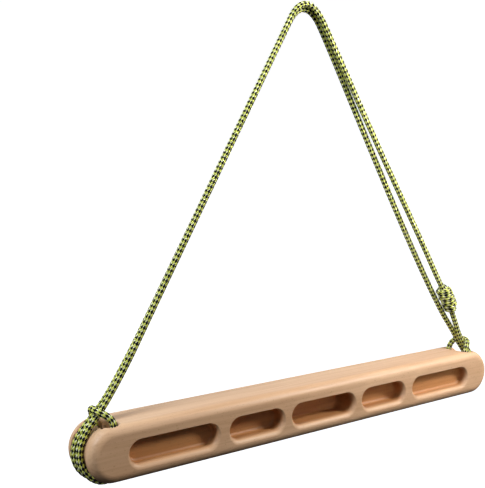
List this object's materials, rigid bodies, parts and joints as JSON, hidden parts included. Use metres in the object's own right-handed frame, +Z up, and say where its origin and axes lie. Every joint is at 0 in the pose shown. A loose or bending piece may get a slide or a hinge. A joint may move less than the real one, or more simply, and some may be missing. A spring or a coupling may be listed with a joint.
{
  "type": "portable hangboard",
  "caption": "Round-ended wooden training board with finger pockets in its front face, hung from a doubled cord sling hitched round both ends.",
  "frame": {"origin": "underside of the cord's inner bend, the point of the hook that it bears on, above the middle of the board", "axes": "+X along the board, -Y out of the finger pockets, +Z up"},
  "size_m": [0.5064, 0.048, 0.4208],
  "materials": {
    "beech": "satin",
    "cord": "matte"
  },
  "bodies": {
    "sling": {"front_strand": "cord", "front_strand_end": "cord", "rear_strand": "cord", "joining_knot": "cord", "knot_tail_upper": "cord", "knot_tail_lower": "cord"},
    "hangboard": {"board": "beech", "left_front_turn": "cord", "left_rear_turn": "cord", "right_front_turn": "cord", "right_rear_turn": "cord", "left_bight": "cord", "right_bight": "cord"}
  },
  "joints": [
    {"name": "board_tilt", "type": "hinge", "parent": "sling", "child": "hangboard", "pos_m": [0, 0.0018, -0.343], "axis": [1, 0, 0], "range_deg": [-20, 20]}
  ]
}
